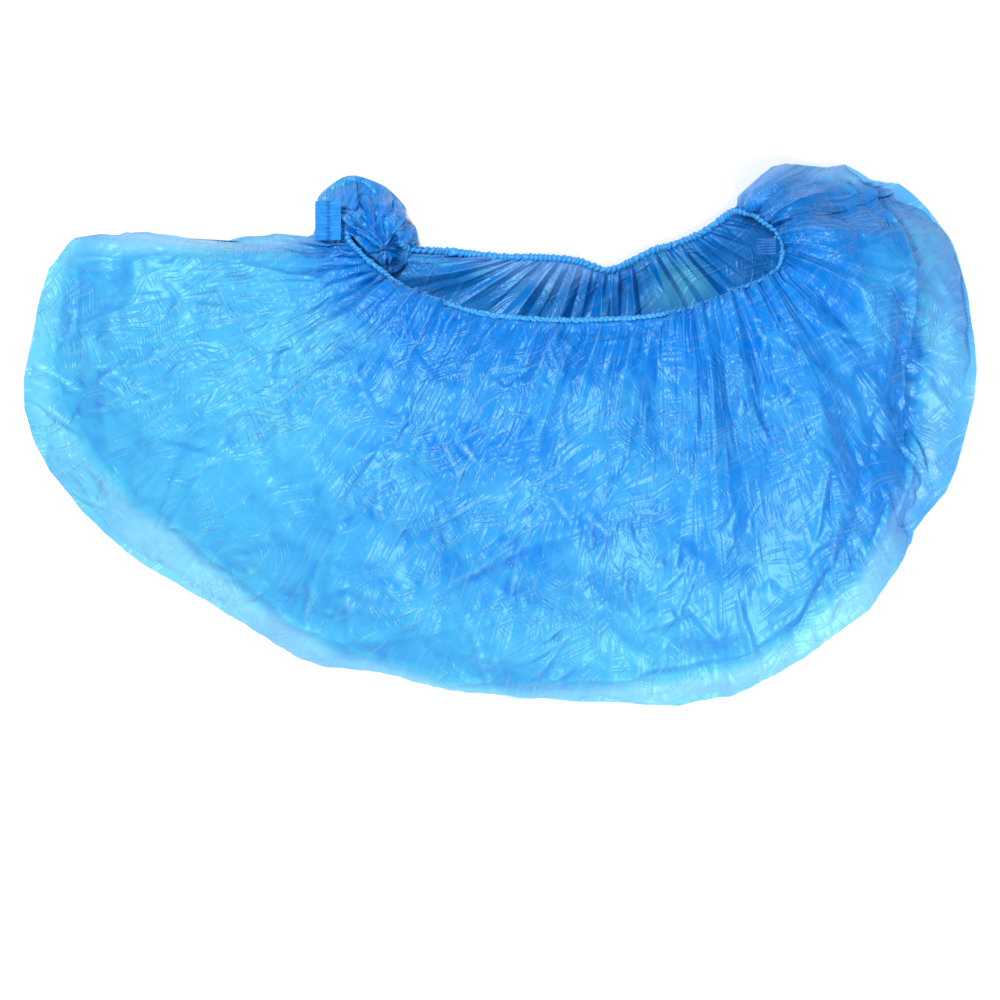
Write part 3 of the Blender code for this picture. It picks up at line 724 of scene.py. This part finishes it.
def film_looks(points, away, gathered, depth, band=0.0):
    """How densely the film lies, where it is pale and where it is crinkled, about 0 to 1.

    Density is the sum of doubled film, soft patches, painted shading of flat facets,
    gathers that die away over depth, film seen along its slope (1/n_z - 1) and painted shade
    in the valleys. Pale lines are painted highlights along sharp ridges, and band is how pale
    the single film outside the doubled line is, partly as thinner film and partly as painted light that
    comes through it.
    """
    x, y, z = points[:, :, 0], points[:, :, 1], points[:, :, 2]
    line = [(a * mm, b * mm) for a, b in DOUBLED]
    doubled = inside_line(x + 1.5 * mm * swells(x, y, 11 * mm, 93), y, line)
    density_and_shade = 0.06 + 0.24 * rise(-0.8 * mm, 0.8 * mm, doubled)
    density_and_shade += 0.08 * swells(x, y, 34 * mm, 91)
    # Painted shading of flat facets: deeper and paler tones by facet and by pane, as if each caught the
    # light differently
    density_and_shade += 0.10 * facets(x, y, 27 * mm, 96) + 0.07 * facets(x, y, 12 * mm, 92)
    density_and_shade += 0.07 * panes(x, y, 15 * mm, 33) + 0.06 * panes(y, x, 8 * mm, 35)
    density_and_shade += 0.48 * rise(-0.12, 0.00, x) * rise(-0.100, -0.030, y) + patches(x, y)
    density_and_shade += gathered * np.exp(-(away / depth) ** 1.4)
    slope = 1 / np.maximum(grid_normals(points)[:, :, 2], 0.4) - 1
    height = z - smeared(z, 24)
    # Deeper on slopes seen from above, and painted shade in the valleys, a little paler on the ridges
    density_and_shade += 0.7 * np.clip(slope, 0, 0.6) + np.clip(-height / (4 * mm), -0.05, 0.20)
    # Painted highlights along sharp ridges
    pale = np.clip((height - smeared(height, 6)) / (0.7 * mm) - 0.15, 0, 1)
    # Band: single film outside the doubled line, paler partly as thinner film and partly by painted light
    # that comes through it
    single = 1 - rise(-7 * mm, -0.5 * mm, doubled)
    single *= np.clip(1 - 4 * patches(x, y), 0, 1) * (1 - 0.6 * rise(0.150, 0.175, np.abs(x)))
    pale = np.maximum(pale, band * single)
    crisp = 0.45 + 0.9 * rise(-0.1, 0.5, swells(x, y, 24 * mm, 97)) + 2 * np.clip(patches(x, y), 0, 0.4)
    return np.clip(density_and_shade, 0, 1), pale, crisp


def puff(name):
    """Bunched film as a grid [direction, ring, xyz], and about how far from its middle.

    Each ring shrinks from the puff's edge to its middle. Its height is the edge's,
    faded to their mean, plus lift sin(pi r / 2)^0.8 with r from 0 at the edge to 1, and
    pleats run round it as a zigzag of uneven depth that fades at both ends.
    """
    made = dict(zip(PUFF_NAMES, PUFFS[name]))
    knots = np.array(made["edge"])
    edge = smooth_curve(knots, 40, closed=True) * mm
    count = len(edge)
    middle = np.array([*made["middle"], knots[:, 2].mean()]) * mm
    r = np.linspace(0, 1, puff_rings)[None, :]
    ring = edge[:, None] + (middle - edge[:, None]) * r[:, :, None]
    turn = np.arange(count)[:, None] / count * made["pleats"]
    turn = turn + 0.35 * swells(turn, 3 * r, 1.0, 41)
    uneven = 0.6 + 0.5 * lattice(np.floor(turn) % made["pleats"], 0 * turn, 42)
    zigzag = 1 - 4 * np.abs(turn - np.floor(turn) - 0.5)
    ring[:, :, 2] += made["lift"] * mm * np.sin(math.pi * r / 2) ** 0.8
    pleat = made["depth"] * mm * uneven * zigzag * np.sin(math.pi * r ** 0.8) ** 0.7
    x, y = ring[:, :, 0], ring[:, :, 1]
    rough = 0.42 * 11 * mm * facets(x + 3 * mm * swells(x, y, 9 * mm, 43), y, 11 * mm, 44)
    rough += 0.30 * 5.5 * mm * facets(x, y + 2 * mm * swells(x, y, 6 * mm, 45), 5.5 * mm, 46)
    rough += 0.2 * 3 * mm * facets(x, y, 3 * mm, 47)
    relief = pleat + rough * rise(0, 0.25, r)
    from_middle = np.repeat(puff_reach * (1 - r), count, axis=0)
    return ring + relief[:, :, None] * grid_normals(ring), from_middle


def faces_inward(points, corners, facing):
    """Whether faces look the wrong way: a closed shape by its volume, a sheet by facing."""
    a, b, c, d = points.reshape(-1, 3)[corners.reshape(-1, 4).T]
    normal = np.cross(c - a, d - b)
    if facing:
        return normal[:, 2].mean() * facing < 0
    return (normal * (a + b + c + d)).sum() < 0


def surface_mesh(name, points, closed_along=False, closed_across=False, facing=0, uv=None, values=(),
                 normals=None):
    """A mesh of four-sided faces over a grid of points, with named point values.

    facing is 1 for a sheet that looks up, -1 for one that looks down, 0 for a closed shape.
    """
    columns, rows = points.shape[:2]
    number = np.arange(columns * rows).reshape(columns, rows)
    if closed_along:
        number = np.vstack([number, number[:1]])
    if closed_across:
        number = np.hstack([number, number[:, :1]])
    corners = np.stack([number[:-1, :-1], number[1:, :-1], number[1:, 1:], number[:-1, 1:]], axis=2)
    corners = corners.reshape(-1)
    faces = len(corners) // 4
    if faces_inward(points, corners, facing):
        corners = corners.reshape(-1, 4)[:, ::-1].reshape(-1)
    mesh = bpy.data.meshes.new(name)
    mesh.vertices.add(columns * rows)
    mesh.vertices.foreach_set("co", points.reshape(-1).astype(np.float32))
    mesh.loops.add(len(corners))
    mesh.loops.foreach_set("vertex_index", corners.astype(np.int32))
    mesh.polygons.add(faces)
    mesh.polygons.foreach_set("loop_start", np.arange(0, 4 * faces, 4, dtype=np.int32))
    mesh.update(calc_edges=True)
    mesh.validate()
    mesh.polygons.foreach_set("use_smooth", np.ones(faces, bool))
    if uv is not None:
        layer = mesh.uv_layers.new(name="film")
        layer.data.foreach_set("uv", uv.reshape(-1, 2)[corners].reshape(-1).astype(np.float32))
    for label, value in values:
        attribute = mesh.attributes.new(label, "FLOAT", "POINT")
        attribute.data.foreach_set("value", value.reshape(-1).astype(np.float32))
    mesh.update()
    if normals is not None:
        mesh.normals_split_custom_set_from_vertices(normals.reshape(-1, 3).astype(np.float32))
    return mesh


def new_piece(name, mesh, material):
    """Link a finished mesh as an object at the origin, on the cover's one body."""
    piece = bpy.data.objects.new(name, mesh)
    bpy.context.scene.collection.objects.link(piece)
    piece.data.materials.append(material)
    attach(piece, "root")
    return piece


class Link:
    """An output of a shader node. Arithmetic on it adds Math nodes to the tree."""

    def __init__(self, shader, socket):
        self.shader = shader
        self.socket = socket

    def _math(self, operation, *operands):
        return self.shader.add("Math", {"operation": operation}, dict(enumerate(operands)))

    def __add__(self, other):
        return self._math("ADD", self, other)

    __radd__ = __add__

    def __sub__(self, other):
        return self._math("SUBTRACT", self, other)

    def __rsub__(self, other):
        return self._math("SUBTRACT", other, self)

    def __mul__(self, other):
        return self._math("MULTIPLY", self, other)

    __rmul__ = __mul__

    def clamped(self, low=0.0, high=1.0):
        """The value kept between low and high."""
        return self._math("MAXIMUM", self._math("MINIMUM", self, high), low)


class Finish:
    """A material whose nodes are added one by one around its Principled shader."""

    def __init__(self, name):
        self.material = bpy.data.materials.new(name)
        self.material.use_nodes = True
        self.tree = self.material.node_tree
        self.surface = self.tree.nodes["Principled BSDF"]

    def add(self, kind, settings, inputs, output=0):
        """Add a shader node: its settings first, then the values or links of its sockets."""
        node = self.tree.nodes.new("ShaderNode" + kind)
        for setting, value in settings.items():
            setattr(node, setting, value)
        self.connect(node, inputs)
        return Link(self, node.outputs[output])

    def connect(self, node, inputs):
        """Set or link the sockets of a node."""
        for socket, value in inputs.items():
            if isinstance(value, Link):
                self.tree.links.new(value.socket, node.inputs[socket])
            else:
                node.inputs[socket].default_value = value

    def place(self):
        """The place on the object, in metres."""
        return self.add("TexCoord", {}, {}, output=3)

    def value(self, name):
        """A named value of the mesh's points."""
        return self.add("Attribute", {"attribute_name": name}, {}, output=2)

    def blend(self, share, first, second):
        """Colour mixed from first to second by share. A colour is a link or (r, g, b)."""
        first, second = (tone if isinstance(tone, Link) else (*tone, 1) for tone in (first, second))
        return self.add("Mix", {"data_type": "RGBA"}, {0: share, 6: first, 7: second}, output=2)

    def noise(self, place, scale, detail=2.0, roughness=0.5):
        """Soft noise between 0 and 1 at a place, scale in waves per metre."""
        return self.add("TexNoise", {}, {"Vector": place, "Scale": scale, "Detail": detail,
                                         "Roughness": roughness})

    def bump(self, strength, depth, height):
        """A normal tilted by a height of 0 to 1 that stands for depth in metres."""
        return self.add("Bump", {}, {"Strength": strength, "Distance": depth, "Height": height})

    def strokes(self, place, turn, across, along):
        """Scattered straight creases, turned by an angle: max(0, 1 - 2d) times a chance height.

        d is the distance to the nearest of scattered points on a plane that is stretched
        to across and along units per metre.
        """
        stretch = {"Rotation": (0.0, 0.0, turn), "Scale": (1 / across, 1 / along, 1.0)}
        drawn = self.add("Mapping", {"vector_type": "TEXTURE"}, {"Vector": place, **stretch})
        away = self.add("TexVoronoi", {"voronoi_dimensions": "2D"}, {"Vector": drawn, "Scale": 1.0})
        chance = Link(self, away.socket.node.outputs["Color"])
        return (1 - away * 2).clamped() * (chance * 1.4 - 0.4)

    def finish(self, inputs):
        """Set the Principled shader's sockets and return the material."""
        self.connect(self.surface, inputs)
        return self.material


def film_finish(colours):
    """Clear blue film: thin places are pale and see-through, packed ones deep and dense.

    Fine crinkles are three sets of straight strokes in a bump: one along the unrolled
    film, and two over a plan bent by soft noise. They also pale the colour a little as painted glints.
    """
    look = Finish("blue_film")
    place = look.place()
    density_and_shade, pale, crisp = (look.value(name) for name in LOOKS)
    soft = look.add("TexNoise", {"noise_dimensions": "2D"},
                    {"Vector": place, "Scale": 45.0, "Detail": 0.0}, output=1)
    bent = look.add("VectorMath", {"operation": "MULTIPLY_ADD"},
                    {0: soft, 1: (0.014, 0.014, 0.0), 2: place})
    unrolled = look.add("UVMap", {"uv_map": "film"}, {})
    crinkle = look.strokes(unrolled, 0.0, 480.0, 42.0) * (0.6 + crisp * 0.4)
    crinkle += look.strokes(bent, 2.1, 520.0, 60.0) * (0.6 + crisp * 0.4)
    crinkle += look.strokes(bent, 0.45, 800.0, 170.0) * (crisp * 0.6)
    # Deeper blue where the film is packed, and where painted shade lies in valleys and on facets
    colour = look.blend(density_and_shade, colours.thin_colour, colours.deep_colour)
    # Painted highlights: pale ridges and the pale band from the points' values, and glints along the
    # crinkles
    glint = pale * 0.35 + (crinkle * 0.09).clamped(0.0, 0.1)
    colour = look.blend(glint, colour, colours.glint_colour)
    return look.finish({
        "Base Color": colour,
        "Roughness": 0.33,
        "Alpha": colours.thin_cover + (colours.deep_cover - colours.thin_cover) * density_and_shade,
        "Normal": look.bump(1.0, 0.6 * mm, crinkle),
        "IOR": 1.5,
        "Specular Tint": sheen,
    })


def hem_finish(colours):
    """Rolled film over elastic: pale on the ribs and deep in the tucks between them, as painted shade."""
    look = Finish("gathered_hem")
    speck = look.noise(look.place(), 700.0, 3.0, 0.6)
    # Painted shade: deeper blue in the tucks between the ribs
    colour = look.blend(look.value("tuck_shade"), colours.hem_colour, colours.deep_colour)
    colour = look.blend(((speck - 0.55) * 3).clamped() * 0.4, colour, colours.glint_colour)
    return look.finish({
        "Base Color": colour,
        "Roughness": 0.28 + 0.2 * speck,
        "Normal": look.bump(0.5, 0.4 * mm, speck),
        "Specular Tint": sheen,
    })


def tab_finish(colours):
    """Film pressed in ribs: deep blue, paler on the ribs, and nearly navy painted shade where the shade
    value is over 1, across the fold and over the heel tab.
    """
    look = Finish("pressed_film")
    tuck_shade = look.value("tuck_shade")
    mottle = look.noise(look.place(), 260.0, 3.0, 0.6)
    # Deeper in the grooves as painted shade, with random mottle
    colour = look.blend(tuck_shade * 0.35 + mottle * 0.9, colours.hem_colour, colours.deep_colour)
    # Nearly navy painted shade across the fold and over the whole heel tab
    colour = look.blend((tuck_shade - 1).clamped(), colour, colours.tab_shade_colour)
    return look.finish({
        "Base Color": colour,
        "Roughness": 0.42 + 0.2 * mottle,
        "Normal": look.bump(0.4, 0.4 * mm, mottle),
        "Specular Tint": sheen,
    })


def matte_finish(name, colour):
    """Plain matt finish of the floor."""
    look = Finish(name)
    grain = look.noise(look.place(), 40.0)
    shade = look.blend(grain * 0.02, colour, (0.8, 0.8, 0.8))
    return look.finish({"Base Color": shade, "Roughness": 0.9})


def ribbed_tube(centre, radius, pitch, sides=18, spacing=0.35 * mm):
    """A tube along a closed line, with a rib for every gather of the hem.

    Radius = r (1 - hidden) (a + b |sin(pi s / pitch + lean)|^0.6), where s is the place
    along the line, shifted by soft noise, lean turns the ribs round the tube, and hidden
    thins the tube on the near rim, where the film wraps it.
    """
    whole = run_length(np.vstack([centre, centre[:1]]))[-1]
    count = int(whole / spacing)
    places = np.arange(count) / count * whole
    path = resample(centre, places, closed=True)
    tangent = np.roll(path, -1, axis=0) - np.roll(path, 1, axis=0)
    side = np.column_stack([tangent[:, 1], -tangent[:, 0], np.zeros(count)])
    side /= np.linalg.norm(side, axis=1)[:, None]
    up = np.cross(side, tangent)
    up /= np.linalg.norm(up, axis=1)[:, None]
    turn = 2 * math.pi * np.arange(sides)[None, :] / sides
    shift = 0.9 * pitch * swells(places, 0 * places, 2.7 * pitch, 61)[:, None]
    lean = 1.1 * np.sin(turn + 2 * swells(places, 0 * places, 9 * mm, 63)[:, None])
    phase = (places[:, None] + shift) / pitch + lean / math.pi
    rib = np.abs(np.sin(math.pi * phase)) ** 0.6
    lump = 1 + 0.35 * lattice(np.floor(phase), 0 * phase, 64)
    lump += 0.12 * swells(places[:, None] + 0 * turn, 2 * mm * turn, 1.4 * mm, 62)
    hidden = 0.26 * rise(8 * mm, 22 * mm, path[:, 2:3])
    reach = radius * (1 - hidden) * (0.45 + 0.52 * rib * lump)
    points = path[:, None] + reach[:, :, None] * (
        side[:, None] * np.cos(turn)[:, :, None] + up[:, None] * np.sin(turn)[:, :, None]
    )
    # Painted shade in the grooves between the ribs
    return points, 1 - rib


def ribbed_plate(low, high, ribs, thickness):
    """A thin pressed plate in a box: closed, ribbed along X on its upper side.

    The plate rises in a straight slope from -X to +X. Its upper side adds ribs of
    uneven height, |sin(pi n y)|^0.8, and small facets.
    """
    a = np.linspace(0, 1, 41)[:, None]
    b = np.linspace(0, 1, 8 * ribs + 1)[None, :]
    x = low[0] + (high[0] - low[0]) * a + 0 * b
    y = low[1] + (high[1] - low[1]) * b + 0 * a
    base = low[2] + (high[2] - low[2] - thickness) * a + 0 * b
    uneven = b + 0.35 / ribs * swells(x, y, 3 * mm, 30)
    rib = np.abs(np.sin(math.pi * ribs * uneven)) ** 0.8
    rib *= 0.55 + 0.45 * swells(x, y, 2.2 * mm, 32)
    top = base + thickness * (0.6 + 0.3 * rib) + 0.35 * mm * facets(x, y, 4 * mm, 31)
    upper = np.stack([x, y, top], axis=2)
    lower = np.stack([x, y, base], axis=2)
    ring = np.concatenate([upper, lower[:, ::-1]], axis=1)
    # Painted shade: deeper in the grooves between ribs, full on the underside
    tuck_shade = np.concatenate([1 - rib, 0 * rib + 1], axis=1)
    return ring, tuck_shade


class ShoeCoverSizes(bpy.types.PropertyGroup):
    """Sizes of the cover that a user would change."""

    mouth_height: bpy.props.FloatProperty(
        name="Mouth height", description="Height of the near hem above the floor",
        default=0.030, min=0.01, max=0.05, unit="LENGTH")
    body_height: bpy.props.FloatProperty(
        name="Body height", description="Height of the bulge of the upper wall",
        default=0.040, min=0.02, max=0.06, unit="LENGTH")
    lying_height: bpy.props.FloatProperty(
        name="Lying hem height", description="Height of the back hem's centre above the floor",
        default=0.0036, min=0.001, max=0.01, unit="LENGTH")
    hem_radius: bpy.props.FloatProperty(
        name="Hem radius", description="Radius of the gathered bead",
        default=0.0017, min=0.0005, max=0.004, unit="LENGTH")
    rib_pitch: bpy.props.FloatProperty(
        name="Rib pitch", description="Distance between the ribs of the hem",
        default=0.0021, min=0.001, max=0.006, unit="LENGTH")
    gather_share: bpy.props.FloatProperty(
        name="Gathers", description="Depth of the gathers beside the hem",
        default=1.0, min=0.0, max=2.0, subtype="FACTOR")
    crumple_share: bpy.props.FloatProperty(
        name="Crumples", description="Depth of the crumples all over the film",
        default=1.0, min=0.0, max=2.0, subtype="FACTOR")


class ShoeCoverColours(bpy.types.PropertyGroup):
    """Colours and cover of the film."""

    thin_colour: bpy.props.FloatVectorProperty(
        name="Thin film", description="Colour of one clear layer", subtype="COLOR",
        size=3, default=(0.070, 0.445, 0.68), min=0, max=1)
    # Packed film also carries the painted shade of valleys and facets
    deep_colour: bpy.props.FloatVectorProperty(
        name="Packed film", description="Colour of packed film and of painted shade", subtype="COLOR",
        size=3, default=(0.0, 0.16, 0.56), min=0, max=1)
    hem_colour: bpy.props.FloatVectorProperty(
        name="Hem", description="Colour of the hem's ribs", subtype="COLOR",
        size=3, default=(0.03, 0.28, 0.66), min=0, max=1)
    # Colour of the painted highlights on ridges and crinkles, of the pale band of single film, and of pale
    # specks on the hem
    glint_colour: bpy.props.FloatVectorProperty(
        name="Painted highlights", description="Colour of painted highlights and pale bands on the film", subtype="COLOR",
        size=3, default=(0.55, 0.86, 1.0), min=0, max=1)
    # Colour of the painted shade on the tabs' folds and on the heel tab
    tab_shade_colour: bpy.props.FloatVectorProperty(
        name="Tab painted shade", description="Colour of the painted shade on the pressed tabs", subtype="COLOR",
        size=3, default=(0.0, 0.06, 0.28), min=0, max=1)
    thin_cover: bpy.props.FloatProperty(
        name="Thin cover", description="How much one clear layer hides",
        default=0.86, min=0, max=1, subtype="FACTOR")
    deep_cover: bpy.props.FloatProperty(
        name="Packed cover", description="How much packed gathers hide",
        default=0.97, min=0, max=1, subtype="FACTOR")


class ShoeCoverStage(bpy.types.PropertyGroup):
    """Floor, light and camera."""

    floor_colour: bpy.props.FloatVectorProperty(
        name="Floor", description="Colour of the floor", subtype="COLOR",
        size=3, default=(0.93, 0.93, 0.93), min=0, max=1)
    camera_height: bpy.props.FloatProperty(
        name="Camera height", description="Height of the camera over the floor",
        default=2.5, min=0.5, max=10, unit="LENGTH")
    view_width: bpy.props.FloatProperty(
        name="View width", description="Width of the floor that the camera takes in",
        default=0.42, min=0.1, max=2, unit="LENGTH")
    view_middle: bpy.props.FloatProperty(
        name="View middle", description="Y of the place on the floor under the camera",
        default=-0.0273, min=-1, max=1, unit="LENGTH")
    floor_reach: bpy.props.FloatProperty(
        name="Floor reach", description="Distance from the cover to each side of the floor",
        default=2.2, min=0.5, max=10, unit="LENGTH")
    room_light: bpy.props.FloatProperty(
        name="Room light", description="Strength of the even light from all round",
        default=0.48, min=0, max=5)


class SHOECOVER_OT_film(bpy.types.Operator):
    """Make the folded film: the upper wall and the back wall"""

    bl_idname = "shoecover.film"
    bl_label = "Make film walls"

    def execute(self, context):
        size = context.scene.shoe_cover_sizes
        finish = film_finish(context.scene.shoe_cover_colours)
        points, place, away = upper_wall(size)
        values = film_looks(points, away, gathered=0.55, depth=17 * mm, band=0.7)
        normals = grid_normals(points)
        uv = np.stack([place, away], axis=2)
        for name, (first, last, flat) in SEAMS.items():
            part = slice(first * steps_per_section, last * steps_per_section + 1)
            looks = [(label, value[part]) for label, value in zip(LOOKS, values)]
            mesh = surface_mesh(name, points[part], facing=1, uv=uv[part], values=looks,
                                normals=normals[part])
            wall = new_piece(name, mesh, finish)
            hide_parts("film_bag")

        points, place, away = back_wall(size)
        # Deeper blue by the back hem: partly packed gathers, partly painted shade inside the mouth
        values = film_looks(points, away, gathered=0.38, depth=30 * mm, band=0.5)
        mesh = surface_mesh("film_back_wall", points, facing=-1, uv=np.stack([place, away], axis=2),
                            values=list(zip(LOOKS, values)))
        back = new_piece("film_back_wall", mesh, finish)

        for name in PUFFS:
            points, away = puff(name)
            values = film_looks(points, away, gathered=0.25, depth=20 * mm)
            mesh = surface_mesh(name, points, closed_along=True, facing=1, uv=points[:, :, :2],
                                values=list(zip(LOOKS, values)))
            bunch = new_piece(name, mesh, finish)
        return {"FINISHED"}


class SHOECOVER_OT_hem(bpy.types.Operator):
    """Make the gathered elastic hem round the mouth"""

    bl_idname = "shoecover.hem"
    bl_label = "Make elastic hem"

    def execute(self, context):
        size = context.scene.shoe_cover_sizes
        loop, _ = hem_loop(size, steps=24)
        points, tuck_shade = ribbed_tube(loop, size.hem_radius, size.rib_pitch)
        mesh = surface_mesh("elastic_hem_bead", points, closed_along=True, closed_across=True,
                            values=[("tuck_shade", tuck_shade)])
        hem = new_piece("elastic_hem_bead", mesh, hem_finish(context.scene.shoe_cover_colours))
        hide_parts("elastic_hem")
        return {"FINISHED"}


class SHOECOVER_OT_tabs(bpy.types.Operator):
    """Make the two pressed seal tabs at the ends of the hem"""

    bl_idname = "shoecover.tabs"
    bl_label = "Make seal tabs"

    def execute(self, context):
        finish = tab_finish(context.scene.shoe_cover_colours)
        for node, (ribs, shade) in TABS.items():
            low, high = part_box(node)
            points, tuck_shade = ribbed_plate(low, high, ribs, tab_thickness)
            share = (points[:, :, 0] - low[0]) / (high[0] - low[0])
            # Painted shade along a fold across the tab, which the plate's shape doesn't have
            fold = np.exp(-((share - tab_fold) / tab_fold_width) ** 2)
            mesh = surface_mesh(node + "_film", points, closed_across=True,
                                values=[("tuck_shade", tuck_shade + shade + 0.8 * fold)])
            tab = new_piece(node + "_film", mesh, finish)
            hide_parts(node)
        return {"FINISHED"}


class SHOECOVER_OT_stage(bpy.types.Operator):
    """Make the floor, the soft light and the camera straight above"""

    bl_idname = "shoecover.stage"
    bl_label = "Make stage"

    def execute(self, context):
        stage = context.scene.shoe_cover_stage
        corners = stage.floor_reach * np.array([[[-1, -1, 0], [-1, 1, 0]], [[1, -1, 0], [1, 1, 0]]], float)
        mesh = surface_mesh("floor", corners, facing=1)
        floor = bpy.data.objects.new("floor", mesh)
        context.scene.collection.objects.link(floor)
        floor.data.materials.append(matte_finish("floor_white", stage.floor_colour))

        world = bpy.data.worlds.new("studio")
        world.use_nodes = True
        back = world.node_tree.nodes["Background"]
        back.inputs["Color"].default_value = (1, 1, 1, 1)
        back.inputs["Strength"].default_value = stage.room_light
        context.scene.world = world
        # Name, place and width in metres, power in watts
        lights = (
            ("key softbox", (-0.55, 0.50, 0.95), 0.40, 12.0),
            ("fill softbox", (0.45, -0.62, 0.9), 0.5, 12.0),
        )
        for name, place, width, power in lights:
            lamp = bpy.data.lights.new(name, "AREA")
            lamp.shape = "SQUARE"
            lamp.size = width
            lamp.energy = power
            item = bpy.data.objects.new(name, lamp)
            item.location = place
            aim = -item.location
            item.rotation_euler = aim.to_track_quat("-Z", "Y").to_euler()
            context.scene.collection.objects.link(item)

        camera = bpy.data.cameras.new("camera")
        camera.sensor_width = 36.0
        camera.lens = camera.sensor_width * stage.camera_height / stage.view_width
        viewer = bpy.data.objects.new("camera", camera)
        viewer.location = (0.0, stage.view_middle, stage.camera_height)
        context.scene.collection.objects.link(viewer)
        context.scene.camera = viewer
        context.scene.view_settings.view_transform = "Standard"
        return {"FINISHED"}


class SHOECOVER_PT_panel(bpy.types.Panel):
    """Buttons that make the shoe cover piece by piece"""

    bl_idname = "SHOECOVER_PT_panel"
    bl_label = "Film shoe cover"
    bl_space_type = "VIEW_3D"
    bl_region_type = "UI"
    bl_category = "Shoe cover"

    def draw(self, context):
        for operator in OPERATORS:
            self.layout.operator(operator.bl_idname)


OPERATORS = (SHOECOVER_OT_film, SHOECOVER_OT_hem, SHOECOVER_OT_tabs, SHOECOVER_OT_stage)
GROUPS = (ShoeCoverSizes, ShoeCoverColours, ShoeCoverStage)


def register():
    """Register the classes and hang the property groups on the scene."""
    for made in GROUPS + OPERATORS + (SHOECOVER_PT_panel,):
        bpy.utils.register_class(made)
    bpy.types.Scene.shoe_cover_sizes = bpy.props.PointerProperty(type=ShoeCoverSizes)
    bpy.types.Scene.shoe_cover_colours = bpy.props.PointerProperty(type=ShoeCoverColours)
    bpy.types.Scene.shoe_cover_stage = bpy.props.PointerProperty(type=ShoeCoverStage)


def unregister():
    """Take the property groups and the classes away again."""
    del bpy.types.Scene.shoe_cover_stage
    del bpy.types.Scene.shoe_cover_colours
    del bpy.types.Scene.shoe_cover_sizes
    for made in reversed(GROUPS + OPERATORS + (SHOECOVER_PT_panel,)):
        bpy.utils.unregister_class(made)


def main():
    """Make every piece in order."""
    register()
    bpy.ops.shoecover.film()
    bpy.ops.shoecover.hem()
    bpy.ops.shoecover.tabs()
    bpy.ops.shoecover.stage()


if __name__ == "__main__":
    main()
